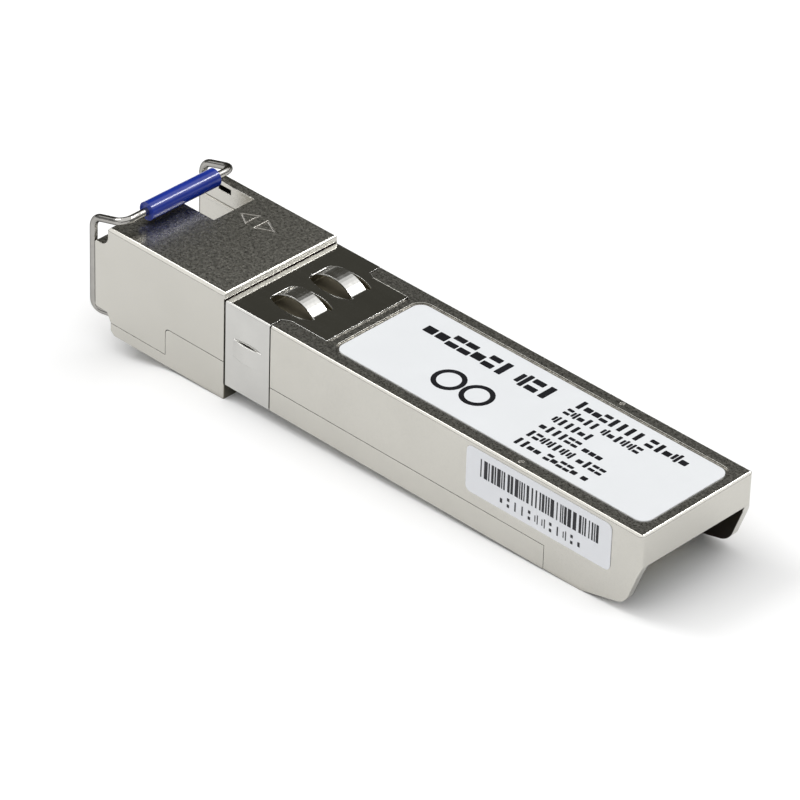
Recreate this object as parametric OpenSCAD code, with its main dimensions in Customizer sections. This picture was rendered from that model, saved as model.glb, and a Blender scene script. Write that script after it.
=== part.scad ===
// Small form-factor pluggable optical transceiver with a single receptacle and a wire bail.
// Model space: x = 0 at the face that stops against the cage mouth, +X towards the card edge,
// z = 0 at the underside of the body, +Y the side of the optical port. Millimetres.

/* [Body] */
// Width of the part that slides into the cage
body_w = 13.4; // [13.2:0.1:13.6]
// Height of the part that slides into the cage
body_h = 8.5; // [8.3:0.1:8.7]
// Length from the cage stop to the rear end
body_l = 47.5; // [47:0.5:49]
// Wall thickness of the castings
wall = 0.8; // [0.7:0.05:0.9]
// Flat cut along the upper edges
edge_cut = 0.18; // [0.1:0.02:0.3]

/* [Head] */
// Width of the head outside the cage
head_w = 13.6; // [13.5:0.1:13.8]
// Length of the top plate of the head
head_l = 14.3; // [14.2:0.1:14.8]
// How far the front frame stands out past the top plate
front_step = 1.65; // [1.5:0.05:1.7]
// Height of the head's top above the body's top
head_rise = 0.7; // [0.5:0.1:0.9]
// Depth of the head below the body's underside
head_drop = 1.5; // [1.4:0.1:1.6]

/* [Optical port] */
// Sideways place of the optical axis
port_y = 3.15; // [3.1:0.05:3.2]
// Height of the optical axis
port_z = 3.4; // [3.3:0.05:3.5]
// Width of the plug cavity
port_w = 4.9; // [4.8:0.05:5]
// Radius of the ferrule bore
ferrule_r = 0.625; // [0.62:0.005:0.63]

/* [Bail] */
// Diameter of the bail wire
wire_d = 0.7; // [0.6:0.05:0.75]
// Sideways place of each bail leg
leg_y = 6.55; // [6.4:0.05:6.55]
// Diameter of the grip sleeve
sleeve_d = 1.74; // [1.5:0.02:1.76]
// Length of the grip sleeve
sleeve_l = 8.1; // [7:0.1:10]

/* [Board] */
// Thickness of the circuit board
board_t = 1; // [0.9:0.05:1.1]
// Width of the card edge
card_edge_w = 9.2; // [9:0.1:9.4]
// Spacing of the edge contacts
contact_pitch = 0.8; // [0.78:0.01:0.82]

/* [Labels] */
// Length of the main label
label_l = 34.8; // [30:0.2:34.8]
// Width of the main label
label_w = 10.4; // [8:0.1:10.4]
// Length of the side label
side_label_l = 16; // [12:0.5:17]
// Height of the side label
side_label_h = 4.5; // [3.5:0.1:4.6]

/* [Hidden] */
$fn = 48;

// Small gaps and overlaps
eps = 0.02;
seam = 0.05;

// Body outline
half_w = body_w / 2;
head_half_w = head_w / 2;
head_top = body_h + head_rise;
inner_half_w = half_w - wall;
roof_t = 1;
roof_z = body_h - roof_t;
floor_t = 0.8;
base_l = 37.1;
part_z = 2.3;
rear_wall_z = 5.3;
skirt_flat_x = 41.2;
skirt_low = [45.1, 1.05];
skirt_r = 1.7;
rear_corner_r = 0.35;

// Head outline
front_x = -head_l - front_step;
frame_top = 7.3;
frame_bottom = 0.55;
frame_fillet = 0.95;
head_base_x = -14;
lip_z = -0.4;
lip_step_x = -7.15;
head_plate_t = 0.8;
toe_cut = 0.4;
head_edge = 0.12;
head_cut = 0.26;

// Port
port_back = -5.6;
port_floor = port_z - 2.3;
port_shelf = 6.75;
port_low_y = port_y - port_w / 2;
port_high_y = port_y + port_w / 2;
port_wall = 0.8;
rib_step = 0.12;
rib_h = 0.3;
mouth_step = 0.2;
notch_back = -9;
catch_x = -12.65;
catch_l = 1.5;
catch_h = 0.55;
catch_z = 8.55;
catch_depth = 0.75;
barrel_r = 1.45;
barrel_tip = -10.5;
flange_r = 2.2;
flange_t = 0.8;
flange_x = port_back + wall;
sleeve_end = flange_x - 0.3;
stub_tip = flange_x - 2.6;
stub_r = 0.79;
stub_fit = 0.01;
sleeve_r = 1;
barrel_bore_r = 1.02;
barrel_mouth_r = 0.82;
barrel_lip = 0.5;
barrel_lead_in = 0.25;

// Collar
sheet_t = 0.2;
collar_l = 5.35;
collar_gap = 0.12;
collar_front_gap = 0.1;
collar_front = -0.25;
tongue_end = 10.5;
tongue_half_w = 4.85;
finger_y = 2.32;
finger_w = 1.72;
finger_front = 2.05;
finger_back = 7.12;
finger_rise = 0.9;
finger_t = 0.16;
top_pocket = 0.6;
slot_front = 2.2;
slot_root = 6.98;
slot_back = 7.27;
slot_half_w = 1.25;
slot_bow = 0.62;
stub_w = 0.3;
side_finger_z = 4.3;
side_finger_h = 1.75;
side_finger_x = [1.1, 4.4];
side_finger_rise = 0.26;
low_finger_y = 4.35;
low_finger_w = 1.4;
low_finger_rise = 0.4;
finger_overlap = 0.08;
finger_pocket = 0.3;
boss_slot_x = [0.9, 4.3];
boss_slot_half_w = 1.65;

// Bail, cam and latch
wire_r = wire_d / 2;
bar_x = -12.6;
bar_z = 10.4;
leg_x = front_x - wire_r - 0.06;
leg_top_z = 9.35;
leg_low_z = 0.12;
pivot_x = -13.5;
pivot_z = 0;
stub_y = 5.85;
stub_end_y = 2.6;
sleeve_y = 0.22;
cam_r = 0.6;
cam_throw = 0.2;
cam_half_l = 3.3;
cam_lobe_half_l = 1.6;
cam_hub_r = 0.55;
cam_room_half_l = cam_half_l + 0.15;
saddle_y = [3.5, 5.3];
saddle_r = wire_r + 0.03;
groove_end_x = pivot_x + wire_r + 0.25;
groove_y = [5.35, 6.62];
rocker_x = -9;
rocker_z = -0.35;
rocker_r = 0.8;
rocker_half_w = 1.5;
rocker_pin_r = 0.33;
rocker_bore_r = 0.37;
arm_t = 0.5;
arm_z = 0.27;
boss_x = [1.3, 3.9];
boss_drop = 0.45;
boss_half_w = 1.3;
pocket_half_w = 1.7;
arm_roof_z = 1.35;
rocker_pin_half_l = 2.85;
spring_t = 0.1;
spring_half_w = 1.1;
spring_root = -3.2;
spring_tip = 1.6;
arm_slot_x = spring_root - 0.2;
arm_cover_half_w = pocket_half_w + 0.4;

// Board and optics
board_z = 2.25;
board_top = board_z + board_t;
board_front = 8.4;
board_end = 44.3;
board_neck = 36.6;
board_half_w = 5.75;
ledge_x = [9, 22, 34];
ledge_l = 1.2;
ledge_y = [4.9, 6];
contact_l = 2.9;
contact_w = 0.6;
contact_t = 0.05;
contacts = 10;
block_front = flange_x + flange_t;
block_back = 1.8;
block_half = 1.7;
can_r = 1.8;
can_t = 0.9;
lead_r = 0.2;
lead_l = 1.1;
lead_pcd = 1.8;
leads = 4;
cap_r = 1.3;
flex_t = 0.12;
flex_gap = 0.5;
flex_half_w = 1.7;
diode_x = -1.1;

// Chips, and the pedestal and pads above them
driver_x = 17;
driver_l = 5;
driver_h = 0.85;
pedestal_x = driver_x;
pedestal_half_l = 2.8;
pedestal_half_w = 2.6;
pedestal_z = 5.1;
pad_half_l = 2.4;
pad_half_w = 2.3;
absorber_x = [22, 33];
absorber_half_w = 4.5;
absorber_t = 0.6;

// Labels
label_t = 0.1;
label_mid = 28.9;
recess_depth = 0.14;
recess_gap = 0.3;
label_r = 1;
side_label_x = 36.3;
side_label_z = 5.75;
side_label_t = 0.06;
stake_x = 33.7;
stake_y = half_w - 0.62;
stake_r = 0.17;

// The part's own origin: under the middle of the whole object, on the surface it stands on
origin_x = (body_l + leg_x - wire_r) / 2;
origin_z = -head_drop;

// Points of an arc, from angle a0 to a1 in n steps
function arc(c, r, a0, a1, n = 8) =
    [for (i = [0:n]) let (a = a0 + (a1 - a0) * i / n) [c[0] + r * cos(a), c[1] + r * sin(a)]];

// A direction of length 1
function unit(v) = v / norm(v);

// Places everything in the part's own frame
module placed() {
    translate([-origin_x, 0, -origin_z]) children();
}

// Extrudes an outline drawn in x and z across the width from y0 to y1
module across(y0, y1) {
    translate([0, y1, 0]) rotate([90, 0, 0]) linear_extrude(y1 - y0) children();
}

// Extrudes an outline drawn in y and z along the length from x0 to x1
module along(x0, x1) {
    translate([x0, 0, 0]) rotate([90, 0, 90]) linear_extrude(x1 - x0) children();
}

// Box between two corners
module box(low, high) {
    translate(low) cube(high - low);
}

// Mirrors its children to the other side of the middle when s is negative
module sided(s) {
    mirror([0, s > 0 ? 0 : 1, 0]) children();
}

// Round bar along Y
module bar_y(x, z, r, y0, y1) {
    translate([x, y1, z]) rotate([90, 0, 0]) cylinder(r = r, h = y1 - y0);
}

// Round bar along X
module bar_x_axis(y, z, r, x0, x1) {
    translate([x0, y, z]) rotate([0, 90, 0]) cylinder(r = r, h = x1 - x0);
}

// Rectangle with rounded corners, centred
module round_rect(l, w, r) {
    square([l - 2 * r, w], center = true);
    square([l, w - 2 * r], center = true);
    for (sx = [-1, 1], sy = [-1, 1]) translate([sx * (l / 2 - r), sy * (w / 2 - r)]) circle(r);
}

// Points and directions round the bend at corner b of a path from a to c
function bend_steps(a, b, c, bend, n) =
    let (
        u = unit(a - b),
        v = unit(c - b),
        half = acos(u * v) / 2,
        o = b + unit(u + v) * bend / sin(half),
        e = unit(b + u * bend / tan(half) - o),
        sweep = 180 - 2 * half
    ) [for (i = [0:n])
        let (t = sweep * i / n) [o + bend * (cos(t) * e - sin(t) * u), -sin(t) * e - cos(t) * u]];

// Steps along a whole wire: both ends, and one bend radius for each corner between them
function wire_steps(pts, bends, n) =
    let (last = len(pts) - 1) concat(
        [[pts[0], unit(pts[1] - pts[0])]],
        [for (i = [1:last - 1]) each bend_steps(pts[i - 1], pts[i], pts[i + 1], bends[i - 1], n)],
        [[pts[last], unit(pts[last] - pts[last - 1])]]
    );

// A direction square to the wire at each step, carried along without twisting
function side_directions(steps) =
    [for (i = 0, d = unit(cross(steps[0][1], [1, 2, 3])); i < len(steps);
        i = i + 1, d = i < len(steps) ? unit(d - (d * steps[i][1]) * steps[i][1]) : d) d];

// Round wire bent through a list of points
module bent_wire(pts, bends, r) {
    around = 24;
    steps = wire_steps(pts, bends, 8);
    sides = side_directions(steps);
    last = len(steps) - 1;
    rings = [for (i = [0:last]) for (j = [0:around - 1])
        let (a = 360 * j / around)
        steps[i][0] + r * (cos(a) * sides[i] + sin(a) * cross(steps[i][1], sides[i]))];
    walls = [for (i = [0:last - 1]) for (j = [0:around - 1])
        let (k = (j + 1) % around, p = i * around, q = p + around)
        each [[p + j, q + j, q + k], [p + j, q + k, p + k]]];
    ends = [[for (j = [0:around - 1]) j], [for (j = [around - 1:-1:0]) last * around + j]];
    polyhedron(rings, concat(walls, ends));
}

// Cross-section of a casting with cut upper edges
module cut_section(half, z0, z1, cut) {
    polygon([
        [-half, z0], [half, z0], [half, z1 - cut], [half - cut, z1],
        [-half + cut, z1], [-half, z1 - cut]
    ]);
}

// Side outline of the cover behind the head, with the rear skirts
module cover_outline() {
    polygon(concat(
        [[-1, body_h], [-1, part_z + seam], [base_l + seam, part_z + seam], [base_l + seam, 0.03]],
        [[skirt_flat_x, 0.03]],
        arc([skirt_low[0] - 0.35, skirt_low[1] + skirt_r - 0.1], skirt_r, -76, -16, 20),
        [[body_l, rear_wall_z], [body_l, body_h - edge_cut], [body_l - edge_cut, body_h]]
    ));
}

// Side outline of the head above the parting line
module head_outline() {
    polygon(concat(
        [[0, head_top - head_edge], [-head_edge, head_top]],
        [[-head_l + 0.15, head_top], [-head_l, head_top - 0.15]],
        arc([-head_l - frame_fillet, frame_top + frame_fillet], frame_fillet, 0, -90, 8),
        [[front_x + 0.15, frame_top], [front_x, frame_top - 0.15]],
        [[front_x, frame_bottom + 0.15], [front_x + 0.15, frame_bottom]],
        [[-head_l - 0.15, frame_bottom], [head_base_x, lip_z + seam]],
        [[lip_step_x - seam, lip_z + seam], [lip_step_x - seam, part_z - 0.5]],
        arc([lip_step_x - seam + 0.5, part_z + seam - 0.5], 0.5, 180, 90, 6),
        [[0, part_z + seam]]
    ));
}

// Plan of the head, with its rear corners cut
module head_plan() {
    translate([0, 0, -head_drop - 1]) linear_extrude(head_top + head_drop + 2) polygon([
        [front_x - 1, -head_half_w], [-head_edge, -head_half_w], [0, -head_half_w + head_edge],
        [0, head_half_w - head_edge], [-head_edge, head_half_w], [front_x - 1, head_half_w]
    ]);
}

// Side outline of the base's part of the head
module base_head_outline() {
    polygon(concat(
        [[head_base_x, lip_z], [head_base_x, -head_drop + toe_cut]],
        [[head_base_x + toe_cut, -head_drop], [0, -head_drop], [0, part_z]],
        arc([lip_step_x + 0.5, part_z - 0.5], 0.5, 90, 180, 6),
        [[lip_step_x, lip_z]]
    ));
}

// Room for the collar: everything outside its sheet, over the collar's length
module collar_relief() {
    difference() {
        box([0, -half_w - 1, -1], [collar_l + collar_gap, half_w + 1, body_h + 1]);
        box([-1, -half_w + sheet_t, sheet_t], [collar_l + 1, half_w - sheet_t, body_h - sheet_t]);
    }
    // Slot in the head's rear face that the sheet's front edge tucks into
    difference() {
        box([collar_front - seam, -half_w - eps, -eps], [eps, half_w + eps, body_h + collar_front_gap]);
        box([-1, -half_w + sheet_t, sheet_t], [1, half_w - sheet_t, body_h - sheet_t]);
    }
}

// Outline of the collar's tongue, with the flared corners at the seam
module tongue_outline(grow = 0) {
    flare = 0.65;
    polygon(concat(
        [[0, -half_w - grow], [collar_l + grow, -half_w - grow]],
        arc([collar_l + flare + 0.05, -half_w + 0.35 + flare], flare + 0.3 - grow, -135, -200, 6),
        [[collar_l + 0.75, -tongue_half_w - grow]],
        arc([tongue_end - 0.4, -tongue_half_w + 0.4], 0.4 + grow, -90, 0, 6),
        arc([tongue_end - 0.4, tongue_half_w - 0.4], 0.4 + grow, 0, 90, 6),
        [[collar_l + 0.75, tongue_half_w + grow]],
        arc([collar_l + flare + 0.05, half_w - 0.35 - flare], flare + 0.3 - grow, 200, 135, 6),
        [[collar_l + grow, half_w + grow], [0, half_w + grow]]
    ));
}

// Opening around one spring finger: bowed sides, and a round-ended stub on each side of the root
module finger_slot(y) {
    mid = (slot_front + slot_back) / 2;
    half_l = (slot_back - slot_front) / 2;
    bow_r = (half_l * half_l + slot_bow * slot_bow) / (2 * slot_bow);
    corner_r = 0.3;
    bow_a = asin((half_l - corner_r / 3) / bow_r);
    translate([0, y]) difference() {
        union() {
            translate([mid, 0]) round_rect(2 * half_l, 2 * slot_half_w, corner_r);
            for (s = [-1, 1]) translate([mid, 0]) mirror([0, s > 0 ? 0 : 1]) polygon(concat(
                arc([0, slot_half_w + slot_bow - bow_r], bow_r, 90 - bow_a, 90 + bow_a, 24),
                [[corner_r - half_l, 0], [half_l - corner_r, 0]]
            ));
        }
        // The root stays joined to the sheet between the stubs
        translate([slot_root, -slot_half_w + stub_w]) square([1, 2 * (slot_half_w - stub_w)]);
    }
}

// The plug cavity, its catch pockets and the notch in the top plate
module port_cavity() {
    box([front_x - 1, port_low_y, port_floor], [port_back, port_high_y, port_shelf]);
    box(
        [front_x - 1, port_low_y + rib_step, port_shelf - eps],
        [port_back, port_high_y - rib_step, port_shelf + rib_h]
    );
    box(
        [front_x - 1, port_low_y, port_shelf + rib_h - eps],
        [port_back, port_high_y, head_top - head_plate_t]
    );
    box([front_x - 1, port_low_y, port_shelf + rib_h - eps], [notch_back, port_high_y, head_top + 1]);
    box(
        [catch_x - catch_l / 2, port_low_y - catch_depth, catch_z - catch_h / 2],
        [catch_x + catch_l / 2, port_high_y + catch_depth, catch_z + catch_h / 2]
    );
    // Lead-in around the mouth
    box(
        [front_x - 1, port_low_y - mouth_step, port_floor - mouth_step],
        [front_x + mouth_step, port_high_y + mouth_step, port_shelf]
    );
    bar_x_axis(port_y, port_z, barrel_r + 0.04, port_back - 1, port_back + wall + 0.5);
}

module top_cover() {
    color("silver") placed() difference() {
        union() {
            intersection() {
                across(-half_w, half_w) cover_outline();
                along(-eps, body_l + 1) cut_section(half_w, -1, body_h, edge_cut);
                translate([0, 0, -1]) linear_extrude(body_h + 2)
                    round_rect(2 * body_l, body_w, rear_corner_r);
            }
            intersection() {
                across(-head_half_w, head_half_w) head_outline();
                along(front_x - 1, 0) cut_section(head_half_w, -head_drop - 1, head_top, head_cut);
                head_plan();
            }
        }
        // Inside of the body
        difference() {
            box([port_back + wall, -inner_half_w, -1], [body_l - wall, inner_half_w, roof_z]);
            // Pedestal that meets the thermal pad
            box(
                [pedestal_x - pedestal_half_l, -pedestal_half_w, pedestal_z],
                [pedestal_x + pedestal_half_l, pedestal_half_w, body_h]
            );
        }
        box([base_l, -inner_half_w, -1], [body_l + 1, inner_half_w, rear_wall_z]);
        // Inside of the head, beside and under the plug cavity
        box(
            [front_x + wall, -head_half_w + wall, -1],
            [port_back + eps, port_low_y - port_wall, frame_top - head_plate_t]
        );
        box(
            [-head_l + wall, -head_half_w + wall, -1],
            [port_back + eps, port_low_y - port_wall, head_top - head_plate_t]
        );
        box(
            [front_x + wall, -head_half_w + wall, -1],
            [port_back + eps, head_half_w - wall, port_floor - 0.3]
        );
        // Ways in for the bail's legs and the cam
        box([front_x - 1, -cam_room_half_l, -1], [front_x + wall + 1, cam_room_half_l, port_floor - 0.3]);
        for (s = [-1, 1]) sided(s)
            box([front_x - 1, groove_y[0], -1], [groove_end_x, groove_y[1], frame_bottom + 0.03]);
        port_cavity();
        collar_relief();
        translate([0, 0, body_h - sheet_t]) linear_extrude(1) tongue_outline(0.06);
        // Pockets under the spring fingers
        for (s = [-1, 1])
            box(
                [slot_front, s * finger_y - slot_half_w - slot_bow, body_h - sheet_t - top_pocket],
                [slot_back, s * finger_y + slot_half_w + slot_bow, body_h]
            );
        finger_pockets();
        // Recess for the main label
        translate([label_mid, 0, body_h - recess_depth]) linear_extrude(1)
            round_rect(label_l + 2 * recess_gap, label_w + 2 * recess_gap, label_r + recess_gap);
        // Holes for the staked pins, with a dimple over each
        for (s = [-1, 1]) {
            translate([stake_x, s * stake_y, part_z - 1]) cylinder(r = stake_r, h = body_h);
            translate([stake_x, s * stake_y, body_h - 0.08]) cylinder(r = stake_r + 0.1, h = 1);
        }
        direction_marks();
    }
}

// A triangle outline engraved in the head's top, pointing along dir
module mark(x, dir, l) {
    depth = 0.1;
    line = 0.13;
    h = 1.85;
    translate([x, port_y, head_top - depth]) linear_extrude(1) difference() {
        polygon([[-dir * l / 2, -h / 2], [-dir * l / 2, h / 2], [dir * l / 2, 0]]);
        polygon([
            [-dir * (l / 2 - line), -h / 2 + 2 * line],
            [-dir * (l / 2 - line), h / 2 - 2 * line],
            [dir * (l / 2 - 2.2 * line), 0]
        ]);
    }
}

// Pair of opposed triangles: light both in and out of one port
module direction_marks() {
    mark(-7.47, -1, 1.54);
    mark(-4.85, 1, 1.83);
}

// Shallow pockets behind the collar's side and lower fingers
module finger_pockets() {
    x0 = side_finger_x[0] - 0.15;
    x1 = side_finger_x[1] + 0.15;
    half_h = side_finger_h / 2;
    half_low = low_finger_w / 2;
    for (s = [-1, 1]) sided(s) {
        box(
            [x0, half_w - sheet_t - finger_pocket, side_finger_z - half_h],
            [x1, half_w, side_finger_z + half_h]
        );
        box([x0, low_finger_y - half_low, -1], [x1, low_finger_y + half_low, sheet_t + finger_pocket]);
    }
}

// Saddles in the base that carry the bail's stubs
module stub_saddles() {
    for (s = [-1, 1]) difference() {
        sided(s) box(
            [head_base_x + eps, saddle_y[0], lip_z - 0.1],
            [pivot_x + 0.8, saddle_y[1], pivot_z + 0.3]
        );
        bar_y(pivot_x, pivot_z, saddle_r, -head_half_w, head_half_w);
        box([pivot_x - saddle_r, -head_half_w, pivot_z], [pivot_x + saddle_r, head_half_w, part_z]);
    }
}

module base_chassis() {
    color("lightgray") placed() difference() {
        union() {
            box([-eps, -half_w, 0], [base_l, half_w, part_z]);
            intersection() {
                across(-head_half_w, head_half_w) base_head_outline();
                head_plan();
            }
            stub_saddles();
        }
        // Open tray, from the port's back wall to the rear
        difference() {
            union() {
                box([1, -inner_half_w, floor_t], [base_l + 1, inner_half_w, part_z + 1]);
                box([port_back + wall, -inner_half_w, floor_t], [1 + eps, inner_half_w, part_z + 1]);
            }
            // Cover over the latch arm
            box([port_back, -arm_cover_half_w, 0], [boss_x[1] + 0.9, arm_cover_half_w, arm_roof_z + 0.2]);
            // Ledges under the board
            for (x = ledge_x) for (s = [-1, 1])
                sided(s) box([x, ledge_y[0], 0], [x + ledge_l, ledge_y[1], board_z - eps]);
        }
        // Slot for the rocker, lower under the port and higher over the latch boss
        box([head_base_x - 1, -pocket_half_w, -head_drop - 1], [arm_slot_x, pocket_half_w, port_floor - 0.3]);
        box([arm_slot_x - eps, -pocket_half_w, -head_drop - 1], [boss_x[1] + 0.4, pocket_half_w, arm_roof_z]);
        // Room for the cam, and grooves the bail's legs swing in
        box(
            [head_base_x - 1, -cam_room_half_l, pivot_z - cam_hub_r - 0.1],
            [pivot_x + cam_r + 0.35, cam_room_half_l, part_z + 1]
        );
        for (s = [-1, 1])
            sided(s) box([head_base_x - 1, groove_y[0], -head_drop - 1], [groove_end_x, groove_y[1], part_z]);
        bar_y(pivot_x, pivot_z, saddle_r, -groove_y[0], groove_y[0]);
        // Bore of the rocker pin, open upwards so that the pin drops in
        bar_y(rocker_x, rocker_z, rocker_pin_r, -rocker_pin_half_l, rocker_pin_half_l);
        box(
            [rocker_x - rocker_pin_r, -rocker_pin_half_l, rocker_z],
            [rocker_x + rocker_pin_r, rocker_pin_half_l, part_z]
        );
        port_cavity();
        collar_relief();
        finger_pockets();
        for (s = [-1, 1])
            translate([stake_x, s * stake_y, 1]) cylinder(r = stake_r, h = body_h);
    }
}

module stake_pins() {
    color("gainsboro") placed() for (s = [-1, 1])
        translate([stake_x, s * stake_y, 1]) cylinder(r = stake_r, h = body_h - 1.1);
}

// Band of a circular arch in x and z: foot to foot, rising from z by rise
module arch(x0, x1, z, rise, t) {
    half = (x1 - x0) / 2;
    r = (half * half + rise * rise) / (2 * rise);
    a = asin(half / r);
    translate([x0 + half, z + rise - r]) polygon(concat(
        arc([0, 0], r, 90 + a, 90 - a, 16),
        arc([0, 0], r - t, 90 - a, 90 + a, 16)
    ));
}

// Bridge over one of the collar's lesser openings, joined to the sheet at both ends
module bridge(face, rise) {
    arch(side_finger_x[0] - finger_overlap, side_finger_x[1] + finger_overlap, face, rise, finger_t);
}

// One top finger: a sprung arch from its root at the back to a free end at the front
module top_finger(y) {
    across(y - finger_w / 2, y + finger_w / 2)
        arch(finger_front, finger_back, body_h - sheet_t, finger_rise + sheet_t, finger_t);
}

module emi_collar() {
    color("gainsboro") placed() {
        difference() {
            union() {
                box([collar_front, -half_w, 0], [collar_l, half_w, body_h]);
                translate([0, 0, body_h - sheet_t]) linear_extrude(sheet_t) intersection() {
                    tongue_outline();
                    translate([collar_front, -half_w]) square([tongue_end, body_w]);
                }
            }
            box([-1, -half_w + sheet_t, sheet_t], [collar_l + 1, half_w - sheet_t, body_h - sheet_t]);
            for (s = [-1, 1]) {
                translate([0, 0, body_h - 0.5]) linear_extrude(1) finger_slot(s * finger_y);
                // Openings of the side and lower fingers
                sided(s) {
                    box([side_finger_x[0], half_w - 0.5, side_finger_z - side_finger_h / 2],
                        [side_finger_x[1], half_w + 0.5, side_finger_z + side_finger_h / 2]);
                    box([side_finger_x[0], low_finger_y - low_finger_w / 2, -0.5],
                        [side_finger_x[1], low_finger_y + low_finger_w / 2, 0.5]);
                }
            }
            box([boss_slot_x[0], -boss_slot_half_w, -0.5], [boss_slot_x[1], boss_slot_half_w, 0.5]);
            // Folded upper edges
            for (s = [-1, 1]) translate([collar_l / 2, s * half_w, body_h]) rotate([45, 0, 0])
                cube([collar_l + 1.2, sheet_t, sheet_t], center = true);
        }
        for (s = [-1, 1]) {
            top_finger(s * finger_y);
            // Side fingers: shallow bridges pushed out of the sheet, flush with it at both ends
            sided(s) translate([0, 0, side_finger_z - side_finger_h / 2]) linear_extrude(side_finger_h)
                bridge(half_w, side_finger_rise);
            // Lower fingers
            across(s * low_finger_y - low_finger_w / 2, s * low_finger_y + low_finger_w / 2)
                mirror([0, 1]) bridge(0, low_finger_rise);
        }
    }
}

// Corners of the bail's path on side s, from the end of the stub up to the bar
function bail_side(s) = [
    [pivot_x, s * stub_end_y, pivot_z],
    [pivot_x, s * stub_y, pivot_z],
    [leg_x, s * leg_y, leg_low_z],
    [leg_x, s * leg_y, leg_top_z],
    [bar_x, s * leg_y, bar_z]
];
bail_bends = [0.7, 0.9, 1.3, 1];

module bail_wire() {
    near = bail_side(-1);
    far = bail_side(1);
    path = concat(near, [for (i = [4:-1:0]) far[i]]);
    bends = concat(bail_bends, [for (i = [3:-1:0]) bail_bends[i]]);
    color("whitesmoke") placed() bent_wire(path, bends, wire_r);
}

module bail_sleeve() {
    slit = 0.4;
    color("mediumblue") placed() difference() {
        bar_y(bar_x, bar_z, sleeve_d / 2, sleeve_y - sleeve_l / 2, sleeve_y + sleeve_l / 2);
        bar_y(bar_x, bar_z, wire_r, sleeve_y - sleeve_l, sleeve_y + sleeve_l);
        // Slit that lets the sleeve snap over the bar
        translate([bar_x, 0, bar_z]) rotate([0, 215, 0])
            box([-slit / 2, -sleeve_l, 0], [slit / 2, sleeve_l, sleeve_d]);
    }
}

module bail_cam() {
    color("darkgray") placed() difference() {
        union() {
            bar_y(pivot_x - cam_throw, pivot_z, cam_r, -cam_lobe_half_l, cam_lobe_half_l);
            bar_y(pivot_x, pivot_z, cam_hub_r, -cam_half_l, cam_half_l);
        }
        for (s = [-1, 1])
            sided(s) bar_y(pivot_x, pivot_z, wire_r, stub_end_y, cam_half_l + 1);
    }
}

// Side outline of the rocker: cam pad, knuckle, stepped arm and latch boss
module rocker_outline() {
    pad_top = pivot_z - cam_r - 0.09;
    arm_top = arm_z + arm_t;
    polygon([
        [pivot_x - 0.45, pad_top], [rocker_x - 0.3, pad_top], [rocker_x, 0.25],
        [-1.3, 0.25], [-0.7, arm_top], [boss_x[1], arm_top],
        [boss_x[1], arm_z], [boss_x[0] + 0.6, -boss_drop], [boss_x[0], -boss_drop],
        [boss_x[0], arm_z], [-0.25, arm_z], [-0.9, -0.3], [rocker_x + 0.4, -0.4],
        [rocker_x - 0.2, pad_top - 0.5], [pivot_x - 0.45, pad_top - 0.42]
    ]);
}

module latch_rocker() {
    color("dimgray") placed() difference() {
        union() {
            difference() {
                across(-rocker_half_w, rocker_half_w) rocker_outline();
                // The latch boss and its arm are narrower than the knuckle
                for (s = [-1, 1])
                    sided(s) box([-0.6, boss_half_w, -2], [boss_x[1] + 1, rocker_half_w + 1, 2]);
            }
            bar_y(rocker_x, rocker_z, rocker_r, -rocker_half_w, rocker_half_w);
        }
        bar_y(rocker_x, rocker_z, rocker_bore_r, -3, 3);
    }
}

module rocker_pin() {
    color("lightgray") placed()
        bar_y(rocker_x, rocker_z, rocker_pin_r, -rocker_pin_half_l, rocker_pin_half_l);
}

// Leaf that holds the latch boss down: flat root, then a slope to its upturned tip
module rocker_spring() {
    root_z = arm_roof_z - spring_t;
    tip_z = arm_z + arm_t + 0.03;
    color("goldenrod") placed() across(-spring_half_w, spring_half_w) polygon([
        [spring_root, root_z], [spring_root + 0.9, root_z], [spring_tip - 0.4, tip_z],
        [spring_tip, tip_z + 0.1], [spring_tip, tip_z + 0.1 + spring_t],
        [spring_tip - 0.4, tip_z + spring_t], [spring_root + 0.9, arm_roof_z], [spring_root, arm_roof_z]
    ]);
}

module receptacle_barrel() {
    color("silver") placed() difference() {
        union() {
            bar_x_axis(port_y, port_z, barrel_r, barrel_tip, flange_x + flange_t);
            bar_x_axis(port_y, port_z, flange_r, flange_x, flange_x + flange_t);
        }
        bar_x_axis(port_y, port_z, barrel_bore_r, barrel_tip + barrel_lip, flange_x + flange_t + 1);
        // Lip at the mouth, coned to lead the ferrule in
        translate([barrel_tip - eps, port_y, port_z]) rotate([0, 90, 0])
            cylinder(r1 = barrel_mouth_r + barrel_lead_in, r2 = barrel_mouth_r, h = barrel_lip + 2 * eps);
    }
}

module split_sleeve() {
    slit = 0.16;
    color("ivory") placed() difference() {
        bar_x_axis(port_y, port_z, sleeve_r, barrel_tip + barrel_lip + eps, sleeve_end);
        bar_x_axis(port_y, port_z, ferrule_r, barrel_tip, stub_tip - eps);
        bar_x_axis(port_y, port_z, stub_r + stub_fit, stub_tip - eps, flange_x);
        box([barrel_tip, port_y - slit / 2, port_z], [flange_x, port_y + slit / 2, port_z + 1]);
    }
}

module fibre_stub() {
    color("white") placed() {
        bar_x_axis(port_y, port_z, stub_r, stub_tip, flange_x);
        bar_x_axis(port_y, port_z, sleeve_r, sleeve_end + eps, flange_x + flange_t);
    }
}

module diplexer_body() {
    color("silver") placed() difference() {
        box([block_front, port_y - block_half, port_z - block_half],
            [block_back, port_y + block_half, port_z + block_half]);
        bar_x_axis(port_y, port_z, cap_r + 0.05, block_front + 0.8, block_back + 1);
        bar_x_axis(port_y, port_z, 0.4, block_front - 1, block_front + 1);
        bar_y(diode_x, port_z, cap_r + 0.05, port_y - block_half - 1, port_y);
    }
}

module wavelength_filter() {
    color("paleturquoise", 0.6) placed() translate([diode_x, port_y, port_z]) rotate([0, 0, 45])
        cube([0.3, 1.8, 1.6], center = true);
}

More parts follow.
